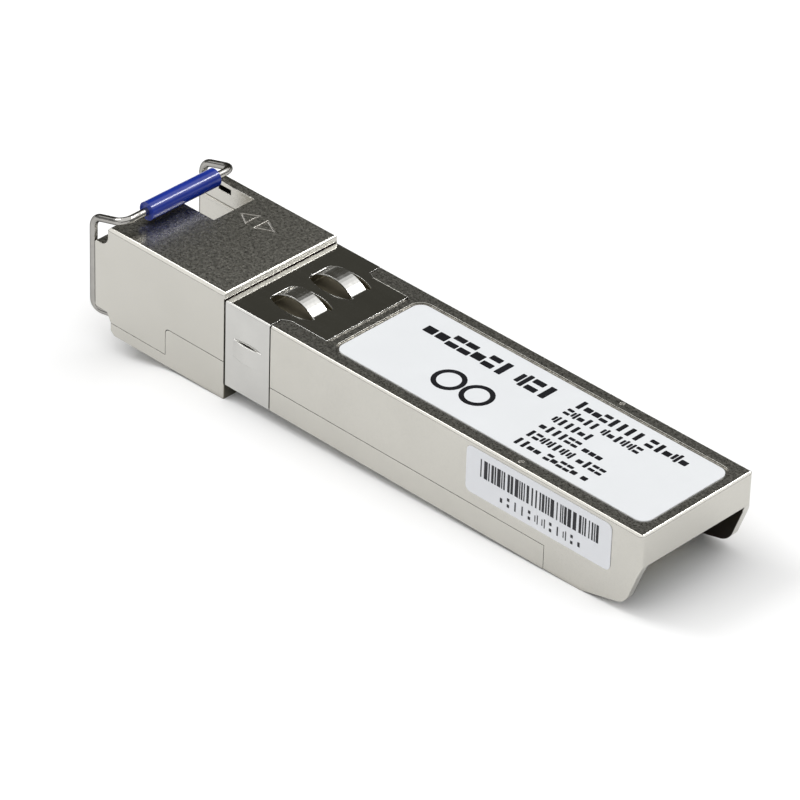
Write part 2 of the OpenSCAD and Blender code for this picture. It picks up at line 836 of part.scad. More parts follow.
// Leads of a can, drawn along +Z towards its seat
module can_leads(r) {
    for (i = [0:leads - 1])
        rotate([0, 0, 45 + 360 * i / leads]) translate([lead_pcd / 2, 0, -can_t - lead_l])
            cylinder(r = r, h = lead_l + eps);
}

// Header, cap and leads of a can, drawn along +Z from its seat
module can(cap_l) {
    translate([0, 0, -can_t]) cylinder(r = can_r, h = can_t);
    translate([0, 0, -eps]) cylinder(r = cap_r, h = cap_l);
    can_leads(lead_r);
}

// Seats of the two cans on the optical block
module laser_seat() {
    translate([block_back, port_y, port_z]) rotate([0, -90, 0]) children();
}

module photodiode_seat() {
    translate([diode_x, port_y - block_half, port_z]) rotate([-90, 0, 0]) children();
}

module laser_can() {
    color("gold") placed() laser_seat() can(1.2);
}

module photodiode_can() {
    color("gold") placed() photodiode_seat() can(0.8);
}

// Ribbon from the laser's leads, down and back under the front edge of the board
module laser_flex() {
    x0 = block_back + can_t + flex_gap;
    z1 = board_z - 0.02;
    dip = 1.75;
    color("darkorange") placed() difference() {
        across(port_y - flex_half_w, port_y + flex_half_w) polygon([
            [x0, port_z + flex_half_w], [x0 + flex_t, port_z + flex_half_w], [x0 + flex_t, 2.3],
            [x0 + 1.1, dip + flex_t], [board_front - 1.3, dip + flex_t + 0.1], [board_front - 0.3, z1],
            [board_front + 0.55, z1], [board_front + 0.55, z1 - flex_t], [board_front - 0.25, z1 - flex_t],
            [board_front - 1.25, dip + 0.1], [x0 + 1.05, dip], [x0, 2.2]
        ]);
        laser_seat() can_leads(lead_r + 0.03);
    }
}

// Ribbon from the photodiode's leads, back beside the laser and onto the board
module photodiode_flex() {
    y0 = port_y - block_half - can_t - flex_gap;
    turn_x = board_front - 1;
    strip_z = [port_z - 0.1, port_z + 1.4];
    strip_end = [1.2, 3.2];
    color("darkorange") placed() difference() {
        union() {
            box(
                [diode_x - flex_half_w, y0 - flex_t, port_z - flex_half_w],
                [diode_x + flex_half_w, y0, port_z + flex_half_w]
            );
            box([diode_x, y0 - flex_t, strip_z[0]], [turn_x, y0, strip_z[1]]);
            box([turn_x - flex_t, y0 - strip_end[1], strip_z[0]], [turn_x, y0, strip_z[1]]);
            box(
                [turn_x - flex_t, y0 - strip_end[1], board_top + eps],
                [board_front + 1.5, y0 - strip_end[0], board_top + eps + flex_t]
            );
        }
        photodiode_seat() can_leads(lead_r + 0.03);
    }
}

// Bracket that locks the receptacle's flange against the wall behind the port
module receptacle_clamp() {
    t = 0.35;
    side = flange_r + 0.03;
    block_gap = block_half + 0.04;
    color("lightsteelblue") placed() difference() {
        box(
            [flange_x + 0.05, port_y - side - t, port_z - 1.6],
            [block_front + t, port_y + side + t, port_z + side + t]
        );
        box([flange_x - 1, port_y - side, port_z - 3], [block_front + eps, port_y + side, port_z + side]);
        box(
            [flange_x, port_y - block_gap, port_z - 3],
            [block_front + 2, port_y + block_gap, port_z + block_gap]
        );
    }
}

// Outline of the board: wide body, two side notches, and the narrow card edge
module board_outline() {
    difference() {
        translate([board_front, -board_half_w]) square([board_neck - board_front, 2 * board_half_w]);
        for (s = [-1, 1]) translate([20, s * board_half_w]) circle(0.6);
        for (s = [-1, 1]) translate([stake_x, s * (board_half_w + 0.3)]) circle(0.7);
    }
    translate([board_neck - eps, -card_edge_w / 2]) square([board_end - board_neck, card_edge_w]);
}

module circuit_board() {
    bevel = 0.3;
    color("darkgreen") placed() intersection() {
        translate([0, 0, board_z]) linear_extrude(board_t) board_outline();
        across(-half_w, half_w) polygon([
            [board_front - 1, board_z - 1], [board_end - bevel, board_z - 1], [board_end - bevel, board_z],
            [board_end, board_z + bevel], [board_end, board_top - bevel], [board_end - bevel, board_top],
            [board_end - bevel, board_top + 1], [board_front - 1, board_top + 1]
        ]);
    }
}

// One row of edge contacts; the ground and power contacts reach further out
module contact_row(z, long) {
    for (i = [0:contacts - 1]) {
        reach = search(i, long) == [] ? 0.5 : 0.2;
        translate([board_end - 0.15 - contact_l, (i - (contacts - 1) / 2) * contact_pitch - contact_w / 2, z])
            cube([contact_l - reach + 0.1, contact_w, contact_t]);
    }
}

module upper_contacts() {
    color("gold") placed() contact_row(board_top, [0, 3, 6, 9]);
}

module lower_contacts() {
    color("gold") placed() contact_row(board_z - contact_t, [0, 4, 5, 8, 9]);
}

// Moulded chip package, with the upper edges of its ends cut
module chip(x, y, z, l, w, h) {
    cut = 0.1;
    translate([x, y, z]) across(-w / 2, w / 2) polygon([
        [-l / 2, 0], [l / 2, 0], [l / 2, h - cut],
        [l / 2 - cut, h], [-l / 2 + cut, h], [-l / 2, h - cut]
    ]);
}

module driver_chip() {
    color("black") placed() chip(driver_x, 0, board_top, driver_l, driver_l, driver_h);
}

module amplifier_chip() {
    color("black") placed() chip(26.5, -1.6, board_top, 3, 3, 0.75);
}

module memory_chip() {
    color("black") placed() chip(25, 1.2, board_z - 0.9, 4.4, 3, 0.9);
}

// A row of identical chip parts along the board
module chip_row(list, l, w, h) {
    for (p = list) translate([p[0] - l / 2, p[1] - w / 2, board_top]) cube([l, w, h]);
}

module chip_capacitors() {
    color("burlywood") placed() {
        chip_row([for (i = [0:3]) [12.2, -3.6 + 2.4 * i]], 0.6, 1, 0.5);
        chip_row([for (i = [0:4]) [22.2 + 1.9 * i, 4.6]], 1, 0.6, 0.5);
        chip_row([for (i = [0:3]) [33 + 1.6 * i, 2.4]], 0.6, 1, 0.5);
    }
}

module chip_resistors() {
    color("dimgray") placed() {
        chip_row([for (i = [0:4]) [21.6 + 1.9 * i, -4.6]], 1, 0.55, 0.35);
        chip_row([for (i = [0:2]) [30.2, -2.2 + 1.7 * i]], 0.55, 1, 0.35);
    }
}

module ferrite_beads() {
    color("slategray") placed() chip_row([for (i = [0:2]) [34, -3.9 + 1.8 * i]], 1.6, 0.9, 0.8);
}

module thermal_pad() {
    color("lightpink") placed() box(
        [driver_x - pad_half_l, -pad_half_w, board_top + driver_h],
        [driver_x + pad_half_l, pad_half_w, pedestal_z]
    );
}

module absorber_pad() {
    color("dimgray") placed() box(
        [absorber_x[0], -absorber_half_w, roof_z - absorber_t],
        [absorber_x[1], absorber_half_w, roof_z]
    );
}

module main_label() {
    color("whitesmoke") placed() translate([label_mid, 0, body_h - recess_depth]) linear_extrude(label_t)
        round_rect(label_l, label_w, label_r);
}

module side_label() {
    color("whitesmoke") placed() translate([side_label_x, -half_w, side_label_z]) rotate([90, 0, 0])
        linear_extrude(side_label_t) round_rect(side_label_l, side_label_h, 0.55);
}

top_cover();
base_chassis();
stake_pins();
emi_collar();
bail_wire();
bail_sleeve();
bail_cam();
latch_rocker();
rocker_pin();
rocker_spring();
receptacle_barrel();
split_sleeve();
fibre_stub();
diplexer_body();
wavelength_filter();
laser_can();
photodiode_can();
laser_flex();
photodiode_flex();
receptacle_clamp();
circuit_board();
upper_contacts();
lower_contacts();
driver_chip();
amplifier_chip();
memory_chip();
chip_capacitors();
chip_resistors();
ferrite_beads();
thermal_pad();
absorber_pad();
main_label();
side_label();
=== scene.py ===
"""Optical transceiver module: camera, light, print and procedural materials for the CAD frame."""

import math
import random

import bmesh
import bpy
from mathutils import Matrix, Vector


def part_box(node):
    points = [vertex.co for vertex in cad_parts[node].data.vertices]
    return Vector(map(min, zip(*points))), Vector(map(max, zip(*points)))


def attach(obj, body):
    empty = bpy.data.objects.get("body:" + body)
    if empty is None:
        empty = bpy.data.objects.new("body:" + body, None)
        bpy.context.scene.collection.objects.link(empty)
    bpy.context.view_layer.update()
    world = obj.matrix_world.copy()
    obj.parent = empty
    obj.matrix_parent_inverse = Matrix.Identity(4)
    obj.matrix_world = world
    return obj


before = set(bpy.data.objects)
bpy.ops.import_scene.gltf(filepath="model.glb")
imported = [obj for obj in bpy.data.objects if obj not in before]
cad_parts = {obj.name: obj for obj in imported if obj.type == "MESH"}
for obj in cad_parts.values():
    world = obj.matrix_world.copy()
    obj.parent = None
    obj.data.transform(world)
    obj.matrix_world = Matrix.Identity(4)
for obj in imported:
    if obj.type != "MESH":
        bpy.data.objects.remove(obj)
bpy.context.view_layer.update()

MM = 0.001

# The CAD's own working frame: x = 0 at the cage stop and z = 0 at the body's underside
BODY_LENGTH = 47.5
HEAD_DROP = 1.5
cover_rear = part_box("top_cover")[1].x
head_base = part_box("base_chassis")[0].z
ORIGIN = Vector((cover_rear - BODY_LENGTH * MM, 0.0, head_base + HEAD_DROP * MM))
X, Y, Z = Vector((1, 0, 0)), Vector((0, 1, 0)), Vector((0, 0, 1))


def at(x, y, z):
    """A point of the working frame, given in millimetres, in the frame's metres."""
    return ORIGIN + Vector((x, y, z)) * MM


def grey(v):
    return (v, v, v)


def shade(tint, factor):
    """A colour made lighter or darker."""
    return tuple(min(1, c * factor) for c in tint)


# ---------------------------------------------------------------- camera

VIEW_AZIMUTH = math.radians(43.23)
VIEW_ELEVATION = math.radians(34.01)
VIEW_ROLL = math.radians(1.83)
VIEW_TARGET = (20.0, 0.0, 4.0)
# Place of the camera from its target, in millimetres: to the right, up and back
VIEW_OFFSET = (-4.12, 0.88, 453.05)
VIEW_LENS = 244.3
SENSOR_WIDTH = 36.0
CLIP_START, CLIP_END = 0.01, 20.0


def make_camera():
    ca, sa = math.cos(VIEW_AZIMUTH), math.sin(VIEW_AZIMUTH)
    ce, se = math.cos(VIEW_ELEVATION), math.sin(VIEW_ELEVATION)
    cr, sr = math.cos(VIEW_ROLL), math.sin(VIEW_ROLL)
    back = Vector((sa * ce, -ca * ce, se))
    level = Vector((ca, sa, 0.0))
    upright = back.cross(level)
    right = cr * level + sr * upright
    up = -sr * level + cr * upright
    aside, above, away = VIEW_OFFSET
    place = at(*VIEW_TARGET) + (aside * right + above * up + away * back) * MM
    data = bpy.data.cameras.new("camera")
    data.lens = VIEW_LENS
    data.sensor_width = SENSOR_WIDTH
    data.clip_start = CLIP_START
    data.clip_end = CLIP_END
    camera = bpy.data.objects.new("camera", data)
    bpy.context.scene.collection.objects.link(camera)
    camera.matrix_world = Matrix(
        (
            (right.x, up.x, back.x, place.x),
            (right.y, up.y, back.y, place.y),
            (right.z, up.z, back.z, place.z),
            (0, 0, 0, 1),
        )
    )
    bpy.context.scene.camera = camera


make_camera()


# ---------------------------------------------------------------- node trees


class Nodes:
    """Builds a node tree. Its methods take node outputs or plain values, and give node outputs."""

    def __init__(self, tree):
        self.tree = tree

    def add(self, kind, **properties):
        node = self.tree.nodes.new(kind)
        for key, value in properties.items():
            setattr(node, key, value)
        return node

    def join(self, source, socket):
        """Feeds an input from a node's output, or sets it to a plain value."""
        if isinstance(source, bpy.types.NodeSocket):
            self.tree.links.new(source, socket)
        else:
            socket.default_value = source

    def maths(self, operation, *terms):
        node = self.add("ShaderNodeMath", operation=operation)
        for term, socket in zip(terms, node.inputs):
            self.join(term, socket)
        return node.outputs[0]

    def split(self, vector):
        node = self.add("ShaderNodeSeparateXYZ")
        self.join(vector, node.inputs[0])
        return node.outputs

    def spread(self, source, to_low, to_high, low=0.3, high=0.7, kind="LINEAR"):
        """Maps a value's range to another range."""
        node = self.add("ShaderNodeMapRange", interpolation_type=kind)
        self.join(source, node.inputs["Value"])
        self.join(low, node.inputs["From Min"])
        self.join(high, node.inputs["From Max"])
        self.join(to_low, node.inputs["To Min"])
        self.join(to_high, node.inputs["To Max"])
        return node.outputs["Result"]

    def blend(self, factor, first, second, kind="MIX"):
        """Mixes two colours."""
        node = self.add("ShaderNodeMix", data_type="RGBA", blend_type=kind)
        self.join(factor, node.inputs[0])
        self.join(first, node.inputs[6])
        self.join(second, node.inputs[7])
        return node.outputs[2]

    def multiply(self, first, second):
        """Multiplies two colours."""
        return self.blend(1.0, first, second, "MULTIPLY")


class Shader(Nodes):
    """A procedural material under construction."""

    def __init__(self, name):
        self.material = bpy.data.materials.new(name)
        self.material.use_nodes = True
        super().__init__(self.material.node_tree)
        self.tree.nodes.clear()
        self.bsdf = self.add("ShaderNodeBsdfPrincipled")
        self.join(self.bsdf.outputs[0], self.add("ShaderNodeOutputMaterial").inputs["Surface"])
        self.place = self.add("ShaderNodeTexCoord").outputs["Object"]

    def surface(self, **inputs):
        """Sets or feeds inputs of the surface shader."""
        for key, value in inputs.items():
            self.join(value, self.bsdf.inputs[key.replace("_", " ")])

    def stretched(self, scale):
        """Object coordinates, scaled for each axis."""
        node = self.add("ShaderNodeMapping")
        self.join(self.place, node.inputs["Vector"])
        self.join(scale, node.inputs["Scale"])
        return node.outputs["Vector"]

    def noise(self, scale, detail, rough, place=None):
        node = self.add("ShaderNodeTexNoise")
        self.join(self.place if place is None else place, node.inputs["Vector"])
        self.join(scale, node.inputs["Scale"])
        self.join(detail, node.inputs["Detail"])
        self.join(rough, node.inputs["Roughness"])
        return node.outputs["Fac"]

    def ramp(self, source, first, second, low=0.3, high=0.7):
        """A colour that runs from the first to the second as a value goes from low to high."""
        node = self.add("ShaderNodeValToRGB")
        for stop, place, colour in zip(node.color_ramp.elements, (low, high), (first, second)):
            stop.position = place
            stop.color = (*colour, 1)
        self.join(source, node.inputs["Fac"])
        return node.outputs["Color"]

    def bump(self, height, strength, depth_mm, below=None):
        """Relief from a height, on top of another relief if there is one below."""
        node = self.add("ShaderNodeBump")
        self.join(height, node.inputs["Height"])
        self.join(strength, node.inputs["Strength"])
        self.join(depth_mm * MM, node.inputs["Distance"])
        if below is not None:
            self.join(below, node.inputs["Normal"])
        return node.outputs["Normal"]

    def soften_edges(self, normal, radius_mm):
        """Rounds the shading of sharp edges, as plating and tumbling do."""
        node = self.add("ShaderNodeBevel", samples=16)
        self.join(normal, node.inputs["Normal"])
        self.join(radius_mm * MM, node.inputs["Radius"])
        return node.outputs["Normal"]

    def top_mask(self):
        """1 on faces that look upwards."""
        normal = self.add("ShaderNodeNewGeometry").outputs["True Normal"]
        return self.maths("GREATER_THAN", self.split(normal)["Z"], LEVEL_LIMIT)

    def zone_mask(self, low, high, half_width):
        """1 inside a zone of the working frame, and 0 elsewhere."""
        low, high = at(low[0], 0, low[1]), at(high[0], 0, high[1])
        place = self.split(self.place)
        mask = self.maths("LESS_THAN", self.maths("ABSOLUTE", place["Y"]), half_width * MM)
        for axis, least, most in (("X", low.x, high.x), ("Z", low.z, high.z)):
            mask = self.maths("MULTIPLY", mask, self.maths("GREATER_THAN", place[axis], least))
            mask = self.maths("MULTIPLY", mask, self.maths("LESS_THAN", place[axis], most))
        return mask


# ---------------------------------------------------------------- materials

# A face counts as level where its normal's upward part is more than this
LEVEL_LIMIT = 0.95

# Zones in millimetres: lowest x and z, highest x and z, and reach to either side of the middle
HEAD_TOP = (-20, 8.6), (0.1, 10), 8.0
ENGRAVING = (-8.7, 9.02), (-3.6, 9.17), 6.0
INSIDE = (0.3, 0.05), (47.3, 8.25), 6.0
STOP_FACE = (-0.05, -1.6), (0.05, 8.42), 8.0
FRONT_SEAM = (-0.3, -0.1), (0.1, 8.42), 8.0
REAR_SEAM = (5.3, -0.1), (5.5, 8.42), 8.0
FINGER_POCKET = (2.0, 7.6), (7.5, 8.25), 4.4
FINGERS = (1.8, 8.52), (7.4, 9.7), 5.0

# The head's top gets lighter from its front to its rear
HEAD_FRONT, HEAD_REAR = at(-15, 0, 0).x, at(0, 0, 0).x
HEAD_GAIN = 1.4

# Noise patterns: scale for each metre, detail and roughness
FLOW = 160, 3, 0.5
SPECK = 5600, 2, 0.5
MOTTLE = 2900, 3, 0.6
CAST_SKIN = 1300, 3, 0.55
ROLLING = 700, 4, 0.6
HANDLING = 260, 3, 0.5
SPOTS = 900, 3, 0.6
DRAWING = 3500, 2, 0.5
PAPER_TONE = 150, 3, 0.5
PAPER_GLOSS = 800, 2, 0.5
PAPER_SKIN = 1500, 2, 0.5

# Scale of the rolling lines on each axis: they run long in x and lie close together in y
ROLLING_SCALE = (0.12, 5.0, 1.0)

# Extra roughness of single zones
ENGRAVED_ROUGH = 0.4
POCKET_ROUGH = 0.3
FINGER_ROUGH = 0.09

# Edge radii of the castings and of the sheet, in millimetres
CAST_EDGE = 0.09
SHEET_EDGE = 0.05

# Pairs of colours that a finish wanders between. The engraving's bright metal is its own colour;
# the other pairs are painted shade: inside the shell, in the gaps at the head's rear face and at
# the collar's edges, and in the pocket under the fingers
PAINTED_SHADE = (0.05, 0.042, 0.034), (0.075, 0.065, 0.052)
BRIGHT = (0.66, 0.65, 0.62), (0.74, 0.73, 0.7)
PAINTED_GAP_SHADE = (0.13, 0.124, 0.1), (0.2, 0.19, 0.155)
PAINTED_POCKET_SHADE = (0.13, 0.118, 0.084), (0.19, 0.17, 0.125)
PAINTED_SEAM_SHADE = (0.03, 0.028, 0.024), (0.05, 0.047, 0.04)

# Painted shade in corners, from the deepest to open surfaces, and how far a corner reaches
PAINTED_CORNER_SHADE = (0.2, 0.17, 0.14), grey(1.0)
CORNER_SHADE_REACH_MM = 0.7


def cast_metal(name, tint, rough=0.19, top_rough=0.1, grain=0.5):
    """Nickel-plated die casting, blasted on top, with painted shade in its corners, inside its
    shell, at the head's rear face, behind the collar and in the pocket under the fingers.
    """
    s = Shader(name)
    top = s.top_mask()
    engraved = s.zone_mask(*ENGRAVING)
    pocket = s.zone_mask(*FINGER_POCKET)
    flow = s.noise(*FLOW)
    speck = s.noise(*SPECK)

    tone = s.ramp(flow, shade(tint, 0.97), shade(tint, 1.02))
    plating = s.multiply(tone, s.ramp(speck, grey(0.95), grey(1.0), high=0.6))
    mottle = s.spread(s.noise(*MOTTLE), 0.325, 0.935)
    gain = s.spread(s.split(s.place)["X"], 1.0, HEAD_GAIN, HEAD_FRONT, HEAD_REAR)
    on_head = s.maths("MULTIPLY", mottle, gain)
    blasted = s.multiply(plating, s.blend(s.zone_mask(*HEAD_TOP), mottle, on_head))
    # Painted shade: an occlusion node finds corners and recesses, and the colour is darkened there
    corners = s.add("ShaderNodeAmbientOcclusion", samples=6)
    s.join(CORNER_SHADE_REACH_MM * MM, corners.inputs["Distance"])
    # Painted shade: a near-black tone for the shade inside the shell and in the gap behind the
    # collar
    painted_dark = s.ramp(flow, *PAINTED_SHADE)

    colour = s.blend(top, plating, blasted)
    colour = s.blend(engraved, colour, s.ramp(flow, *BRIGHT))
    # Painted shade in corners and recesses
    colour = s.multiply(colour, s.ramp(corners.outputs["AO"], *PAINTED_CORNER_SHADE, 0.15, 0.75))
    # Painted shade inside the shell
    colour = s.blend(s.zone_mask(*INSIDE), colour, painted_dark)
    # Painted shade on the head's rear face and its edge, in the gap to the collar
    colour = s.blend(s.zone_mask(*STOP_FACE), colour, s.ramp(flow, *PAINTED_GAP_SHADE))
    # Painted shade in the gap behind the collar's rear edge
    colour = s.blend(s.zone_mask(*REAR_SEAM), colour, painted_dark)
    # Painted shade on the pocket floor under the fingers; its extra roughness is a real finish
    colour = s.blend(pocket, colour, s.ramp(flow, *PAINTED_POCKET_SHADE))

    gloss = s.spread(speck, rough - 0.05, rough + 0.06)
    for mask, extra in ((top, top_rough), (engraved, ENGRAVED_ROUGH), (pocket, POCKET_ROUGH)):
        gloss = s.maths("MULTIPLY_ADD", mask, extra, gloss)

    # The blasted grain is deep on top, and a tenth as deep elsewhere
    blast = s.maths("MULTIPLY_ADD", top, grain * 0.9, grain * 0.1)
    skin = s.bump(s.noise(*CAST_SKIN), grain * 0.25, depth_mm=0.02)
    skin = s.soften_edges(s.bump(speck, blast, depth_mm=0.013, below=skin), CAST_EDGE)
    s.surface(Metallic=1.0, Base_Color=colour, Roughness=gloss, Normal=skin)
    return s.material


def sheet_metal(name, tint, rough):
    """Rolled spring steel: long rolling lines, light handling marks, duller raised fingers and
    painted shade along the front seam.
    """
    s = Shader(name)
    lines = s.noise(*ROLLING, s.stretched(ROLLING_SCALE))
    marks = s.noise(*HANDLING)
    # Painted shade in the seam at the collar's front edge, next to the head
    colour = s.blend(
        s.zone_mask(*FRONT_SEAM),
        s.ramp(marks, shade(tint, 0.92), tint, 0.35, 0.65),
        s.ramp(marks, *PAINTED_SEAM_SHADE, 0.35, 0.65),
    )
    gloss = s.spread(lines, rough - 0.03, rough + 0.05)
    gloss = s.maths("MULTIPLY_ADD", s.zone_mask(*FINGERS), FINGER_ROUGH, gloss)
    skin = s.soften_edges(s.bump(lines, 0.12, depth_mm=0.003), SHEET_EDGE)
    s.surface(Metallic=1.0, Base_Color=colour, Roughness=gloss, Normal=skin)
    return s.material


def wire_metal(name, tint, rough, rim=1.0):
    """Drawn or turned and plated metal: fine relief, matt spots and a chosen sheen at its rim."""
    s = Shader(name)
    spots = s.noise(*SPOTS)
    s.surface(
        Metallic=1.0,
        Specular_Tint=(*grey(rim), 1),
        Base_Color=s.ramp(spots, shade(tint, 0.86), tint, 0.35, 0.7),
        Roughness=s.spread(spots, rough - 0.04, rough + 0.12),
        Normal=s.bump(s.noise(*DRAWING), 0.2, depth_mm=0.004),
    )
    return s.material


def plastic(name, tint, rough, grain, scale, vary=0.15, shine=0.5):
    """Moulded, extruded or fired material with a fine skin."""
    s = Shader(name)
    tone = s.noise(scale * 0.25, 3, 0.5)
    s.surface(
        Specular_IOR_Level=shine,
        Base_Color=s.ramp(tone, shade(tint, 1 - vary), shade(tint, 1 + vary)),
        Roughness=s.spread(tone, rough - 0.05, rough + 0.06),
        Normal=s.bump(s.noise(scale, 3, 0.6), grain, depth_mm=0.01),
    )
    return s.material


def film(name, tint, rough=0.42):
    """Printed label film: nearly even, with a faint orange-peel."""
    s = Shader(name)
    s.surface(
        Base_Color=s.ramp(s.noise(*PAPER_TONE), shade(tint, 0.975), tint),
        Roughness=s.spread(s.noise(*PAPER_GLOSS), rough - 0.06, rough + 0.06),
        Normal=s.bump(s.noise(*PAPER_SKIN), 0.08, depth_mm=0.006),
    )
    return s.material


CASTING = cast_metal("plated_casting", (0.535, 0.522, 0.481))
COLLAR = sheet_metal("collar_sheet", (0.56, 0.555, 0.535), 0.1)
SPRING = sheet_metal("spring_metal", (0.6, 0.57, 0.5), 0.25)
WIRE = wire_metal("bail_wire_metal", (0.4, 0.39, 0.37), 0.08, rim=0.1)
LATCH = wire_metal("latch_metal", grey(0.5), 0.3)
TURNED = wire_metal("turned_metal", (0.72, 0.71, 0.69), 0.25)
GOLD = wire_metal("gold_plate", (0.86, 0.64, 0.28), 0.22)
PAPER = film("label_film", (0.705, 0.72, 0.734))
SIDE_PAPER = film("side_label_film", (0.679, 0.691, 0.717))

# Name, colour, roughness, strength of the grain and its scale for each metre
GRIP = plastic("grip_blue", (0.007, 0.025, 0.25), 0.15, 0.05, 1500, vary=0.12, shine=0.5)
INK = plastic("label_ink", (0.008, 0.008, 0.01), 0.6, 0.1, 900, vary=0.3, shine=0.1)
SIDE_INK = plastic("side_label_ink", (0.04, 0.04, 0.044), 0.6, 0.1, 900, vary=0.3, shine=0.1)
ZIRCONIA = plastic("zirconia", (0.86, 0.84, 0.78), 0.2, 0.05, 700, vary=0.04)
FLEX = plastic("polyimide", (0.5, 0.22, 0.03), 0.3, 0.1, 500)
BOARD = plastic("solder_mask", (0.01, 0.1, 0.035), 0.3, 0.35, 1100, vary=0.2)
CHIP = plastic("chip_mould", (0.02, 0.02, 0.022), 0.5, 0.4, 2600, vary=0.2)
CERAMIC = plastic("capacitor_ceramic", (0.42, 0.3, 0.17), 0.4, 0.2, 1500)
RESISTOR = plastic("resistor_body", (0.05, 0.05, 0.055), 0.4, 0.2, 1500)
FERRITE = plastic("ferrite", (0.09, 0.09, 0.1), 0.5, 0.3, 1500)
PAD = plastic("gap_filler", (0.6, 0.35, 0.42), 0.75, 0.5, 900, vary=0.1)
ABSORBER = plastic("absorber", grey(0.05), 0.8, 0.6, 800, vary=0.2)
FILTER = plastic("filter_glass", (0.4, 0.6, 0.65), 0.08, 0.02, 400, vary=0.1)

FINISH = {
    "top_cover": CASTING,
    "base_chassis": CASTING,
    "stake_pins": CASTING,
    "emi_collar": COLLAR,
    "bail_wire": WIRE,
    "bail_sleeve": GRIP,
    "bail_cam": LATCH,
    "latch_rocker": LATCH,
    "rocker_pin": LATCH,
    "rocker_spring": SPRING,
    "receptacle_barrel": TURNED,
    "split_sleeve": ZIRCONIA,
    "fibre_stub": ZIRCONIA,
    "diplexer_body": TURNED,
    "wavelength_filter": FILTER,
    "laser_can": GOLD,
    "photodiode_can": GOLD,
    "laser_flex": FLEX,
    "photodiode_flex": FLEX,
    "receptacle_clamp": LATCH,
    "circuit_board": BOARD,
    "upper_contacts": GOLD,
    "lower_contacts": GOLD,
    "driver_chip": CHIP,
    "amplifier_chip": CHIP,
    "memory_chip": CHIP,
    "chip_capacitors": CERAMIC,
    "chip_resistors": RESISTOR,
    "ferrite_beads": FERRITE,
    "thermal_pad": PAD,
    "absorber_pad": ABSORBER,
    "main_label": PAPER,
    "side_label": SIDE_PAPER,
}

for name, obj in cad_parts.items():
    obj.data.materials.clear()
    obj.data.materials.append(FINISH[name])


# ---------------------------------------------------------------- printed marks

# Height of the print above its label, in millimetres
PRINT = 0.012
CORNER_STEPS = 5
RING_STEPS = 24
MERGE_DISTANCE = 1e-9
PRINT_SEED = 11

LABEL_TOP = (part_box("main_label")[1].z - ORIGIN.z) / MM
SIDE_FACE = (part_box("side_label")[0].y - ORIGIN.y) / MM

# Plain shapes that stand in for characters: blocks of sideways place, height place, width, height
SHAPES = (
    ((0.0, 0.0, 0.42, 1.0),),
    ((0.0, 0.3, 0.78, 0.34), (0.0, -0.3, 0.78, 0.34)),
    ((-0.22, 0.0, 0.3, 0.7), (0.22, 0.0, 0.3, 1.0)),
    ((0.0, -0.12, 0.74, 0.5),),
)
PITCH = 0.72
WEIGHT = 1.15
BLOCK_CORNER = 0.08
WORD_LENGTHS = (4, 9)
WORD_GAP = 0.6

# Main label, in millimetres. Heading: start, end, y and height. Rings: x, y, radius and line.
# Small lines: end and height
HEADING = (14.4, 29.8, 2.9, 1.9)
RINGS = ((21.3, -1.6, 1.55, 0.47), (24.5, -1.6, 1.55, 0.47))
SMALL_START, SMALL_TOP, SMALL_STEP = 31.0, 3.6, 1.5
SMALL_LINES = ((43.6, 1.25), (39.5, 1.0), (35.8, 1.0), (38.3, 1.0), (39.9, 1.0), (39.3, 1.0))

# Side label, in millimetres: its bars, and the row of small blocks under them
BARS_START, BARS_END, BARS_Z, BARS_HEIGHT, BARS_CORNER = 29.9, 43.0, 6.42, 1.75, 0.01
BAR_WIDTHS = (0.12, 0.16, 0.26, 0.38)
BAR_GAPS = (0.1, 0.12, 0.2, 0.28)
ROW_START, ROW_END, ROW_Z, ROW_PITCH, ROW_CORNER = 32.0, 40.6, 4.5, 0.78, 0.04
ROW_CELL = 0.6
ROW_WIDTH, ROW_HEIGHT = 0.34, 0.9


def print_block(bm, centre, along, across, size, radius):
    """A thin plate with rounded corners, printed on the plane of two directions."""
    length, width = size[0] / 2, size[1] / 2
    r = min(radius, length, width)
    outline = []
    for sx, sy, start in ((1, 1, 0), (-1, 1, 90), (-1, -1, 180), (1, -1, 270)):
        for i in range(CORNER_STEPS + 1):
            a = math.radians(start + 90 * i / CORNER_STEPS)
            x, y = sx * (length - r) + r * math.cos(a), sy * (width - r) + r * math.sin(a)
            outline.append((along * x + across * y) * MM)
    lift = along.cross(across) * PRINT * MM
    low = [bm.verts.new(centre + point) for point in outline]
    high = [bm.verts.new(v.co + lift) for v in low]
    bm.faces.new(high)
    bm.faces.new(list(reversed(low)))
    n = len(outline)
    for i in range(n):
        j = (i + 1) % n
        bm.faces.new((low[i], low[j], high[j], high[i]))


def print_line(bm, x, end, y, height, draw):
    """A line of plain blocks in word-like groups, in place of writing."""
    pitch = height * PITCH
    left = draw.randint(*WORD_LENGTHS)
    while x < end - pitch:
        for dx, dy, w, h in draw.choice(SHAPES):
            centre = at(x + (0.5 + dx) * pitch, y + dy * height, LABEL_TOP)
            print_block(bm, centre, X, Y, (w * pitch * WEIGHT, h * height), BLOCK_CORNER)
        x += pitch
        left -= 1
        if left == 0:
            x += pitch * WORD_GAP
            left = draw.randint(*WORD_LENGTHS)


def print_ring(bm, x, y, outer, line):
    """A plain ring."""
    turn = [2 * math.pi * i / RING_STEPS for i in range(RING_STEPS)]
    rims = []
    for radius, lift in ((outer, 0), (outer, PRINT), (outer - line, PRINT), (outer - line, 0)):
        points = [(x + radius * math.cos(a), y + radius * math.sin(a)) for a in turn]
        rims.append([bm.verts.new(at(*point, LABEL_TOP + lift)) for point in points])
    for first, second in zip(rims, rims[1:] + rims[:1]):
        for i in range(RING_STEPS):
            j = (i + 1) % RING_STEPS
            bm.faces.new((first[i], first[j], second[j], second[i]))


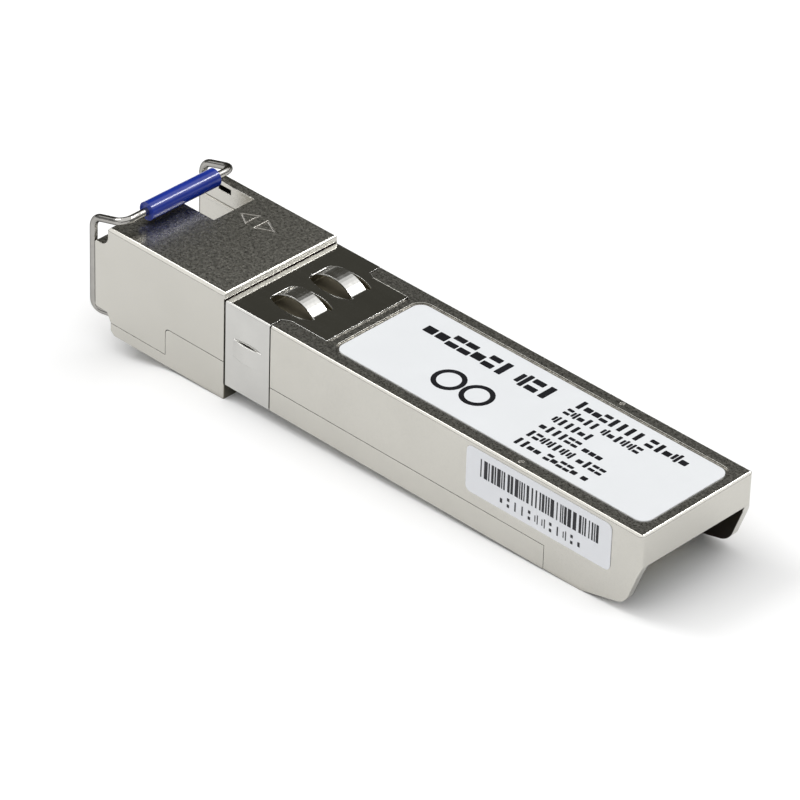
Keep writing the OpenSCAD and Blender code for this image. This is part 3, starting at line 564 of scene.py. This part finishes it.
def print_bars(bm, draw):
    """Bars of random width, with a row of small plain blocks under them in place of digits."""
    x = BARS_START
    while x < BARS_END:
        w = draw.choice(BAR_WIDTHS)
        centre = at(x + w / 2, SIDE_FACE, BARS_Z)
        print_block(bm, centre, X, Z, (w, BARS_HEIGHT), BARS_CORNER)
        x += w + draw.choice(BAR_GAPS)
    x = ROW_START
    while x < ROW_END:
        for dx, dz, w, h in draw.choice(SHAPES):
            centre = at(x + (0.5 + dx) * ROW_CELL, SIDE_FACE, ROW_Z + dz)
            print_block(bm, centre, X, Z, (w * ROW_WIDTH, h * ROW_HEIGHT), ROW_CORNER)
        x += ROW_PITCH


def piece_from(bm, name, material, body):
    """A mesh piece that rides on a body."""
    mesh = bpy.data.meshes.new(name)
    bmesh.ops.remove_doubles(bm, verts=bm.verts, dist=MERGE_DISTANCE)
    bm.to_mesh(mesh)
    bm.free()
    mesh.materials.append(material)
    piece = bpy.data.objects.new(name, mesh)
    bpy.context.scene.collection.objects.link(piece)
    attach(piece, body)


draw = random.Random(PRINT_SEED)
marks = bmesh.new()
print_line(marks, *HEADING, draw)
for ring in RINGS:
    print_ring(marks, *ring)
for row, (end, height) in enumerate(SMALL_LINES):
    print_line(marks, SMALL_START, end, SMALL_TOP - SMALL_STEP * row, height, draw)
piece_from(marks, "main_label_print", INK, "housing")

bars = bmesh.new()
print_bars(bars, draw)
piece_from(bars, "side_label_print", SIDE_INK, "housing")


# ---------------------------------------------------------------- floor

FLOOR_SIZE = 6.0
FLOOR_TONES = grey(0.90), grey(0.92)
FLOOR_ROUGH = 0.6
FLOOR_NOISE = 3, 2, 0.5
# Where the skirts' rear ends touch the floor: x and z
REAR_CONTACT = (41.0, 0.03)
# The hollow in front of the head: its flat part along x and to either side, its depth, the width
# of its slopes to the front and sides, and that of its slope up to the head
HOLLOW_START, HOLLOW_END = -27.0, -13.2
HOLLOW_HALF_WIDTH = 7.3
HOLLOW_DEPTH = 1.35
HOLLOW_EASE = 18.0
HOLLOW_RIM = 8.0
HOLLOW_CELLS = 48


def fade(value, full, none):
    """1 up to one place and 0 from another on, with a smooth change between."""
    u = min(max((none - value) / (none - full), 0.0), 1.0)
    return u * u * (3 - 2 * u)


def hollow_depth(x, y):
    across = fade(abs(y), HOLLOW_HALF_WIDTH, HOLLOW_HALF_WIDTH + HOLLOW_EASE)
    front = fade(-x, -HOLLOW_START, HOLLOW_EASE - HOLLOW_START)
    rear = fade(x, HOLLOW_END, HOLLOW_END + HOLLOW_RIM)
    return HOLLOW_DEPTH * across * (rear * front)


def make_floor():
    """Pale floor, tipped so that the head's lower edge and the skirts both stand on it.

    A shallow hollow in front of the head leaves room for the bail when it is swung right down.
    """
    slope = (REAR_CONTACT[1] + HEAD_DROP) / REAR_CONTACT[0]
    half = FLOOR_SIZE / 2 / MM
    low_x, high_x = HOLLOW_START - HOLLOW_EASE, HOLLOW_END + HOLLOW_RIM
    side = HOLLOW_HALF_WIDTH + HOLLOW_EASE
    steps = range(HOLLOW_CELLS + 1)
    xs = [-half, *(low_x + (high_x - low_x) * i / HOLLOW_CELLS for i in steps), half]
    ys = [-half, *(side * (2 * i / HOLLOW_CELLS - 1) for i in steps), half]
    corners = [at(x, y, slope * x - HEAD_DROP - hollow_depth(x, y)) for y in ys for x in xs]
    n = len(xs)
    starts = [j * n + i for j in range(len(ys) - 1) for i in range(n - 1)]
    mesh = bpy.data.meshes.new("floor")
    mesh.from_pydata(corners, [], [(k, k + 1, k + n + 1, k + n) for k in starts])
    mesh.shade_smooth()
    s = Shader("studio_floor")
    s.surface(Base_Color=s.ramp(s.noise(*FLOOR_NOISE), *FLOOR_TONES), Roughness=FLOOR_ROUGH)
    mesh.materials.append(s.material)
    floor = bpy.data.objects.new("floor", mesh)
    bpy.context.scene.collection.objects.link(floor)


make_floor()


# ---------------------------------------------------------------- light

LIGHT_DISTANCE = 0.8
WALL_RADIANCE = 0.25
ROOF_RADIANCE = 1.4
BACKDROP_RADIANCE = 0.9
OPENING_TONE = (0.074, 0.072, 0.06)
OPENING_DIRECTION = Vector((-0.69, 0.72, 0.0)).normalized()

# Where each change in the surroundings starts and ends: the upward part of a direction for the
# roof and the sill, and its part towards the opening for the sides
ROOF_EDGE = (0.3, 0.55)
OPENING_SIDES = (0.55, 0.72)
OPENING_SILL = (0.05, 0.14)


def make_world():
    """Studio surroundings: pale walls, a bright diffuser overhead and a dark far opening.

    The camera itself sees a plain pale backdrop in their place.
    """
    world = bpy.data.worlds.new("studio")
    bpy.context.scene.world = world
    world.use_nodes = True
    sky = world.node_tree.nodes["Background"]
    w = Nodes(world.node_tree)
    direction = w.add("ShaderNodeTexCoord").outputs["Generated"]
    height = w.split(direction)["Z"]
    toward = w.add("ShaderNodeVectorMath", operation="DOT_PRODUCT")
    w.join(direction, toward.inputs[0])
    w.join(OPENING_DIRECTION, toward.inputs[1])

    light = w.spread(height, WALL_RADIANCE, ROOF_RADIANCE, *ROOF_EDGE, "SMOOTHSTEP")
    between = w.spread(toward.outputs["Value"], 0.0, 1.0, *OPENING_SIDES, "SMOOTHSTEP")
    above = w.spread(height, 0.0, 1.0, *OPENING_SILL, "SMOOTHSTEP")
    opening = w.maths("MULTIPLY", between, above)
    studio = w.blend(opening, light, (*OPENING_TONE, 1))
    seen = w.add("ShaderNodeLightPath").outputs["Is Camera Ray"]
    w.join(w.blend(seen, studio, (*grey(BACKDROP_RADIANCE), 1)), sky.inputs["Color"])
    w.join(1.0, sky.inputs["Strength"])


def soft_light(name, direction, size, power, aim, lit=True):
    """Rectangular soft light that faces a point; an unlit one is only seen in gloss."""
    data = bpy.data.lights.new(name, "AREA")
    data.shape = "RECTANGLE"
    data.size, data.size_y = size
    data.energy = power
    lamp = bpy.data.objects.new(name, data)
    bpy.context.scene.collection.objects.link(lamp)
    toward = Vector(direction).normalized()
    lamp.location = at(*aim) + toward * LIGHT_DISTANCE
    lamp.rotation_euler = toward.to_track_quat("Z", "Y").to_euler()
    lamp.visible_diffuse = lit


make_world()
soft_light("key_left", (-0.62, -0.2, 0.75), size=(0.3, 0.3), power=1.6, aim=(16, 0, 4))
soft_light(
    "streak", (0.38, 0.6, 0.7), size=(0.08, 0.4), power=2.6, aim=(-12.6, 0, 10.4), lit=False
)
bpy.context.scene.view_settings.view_transform = "Standard"
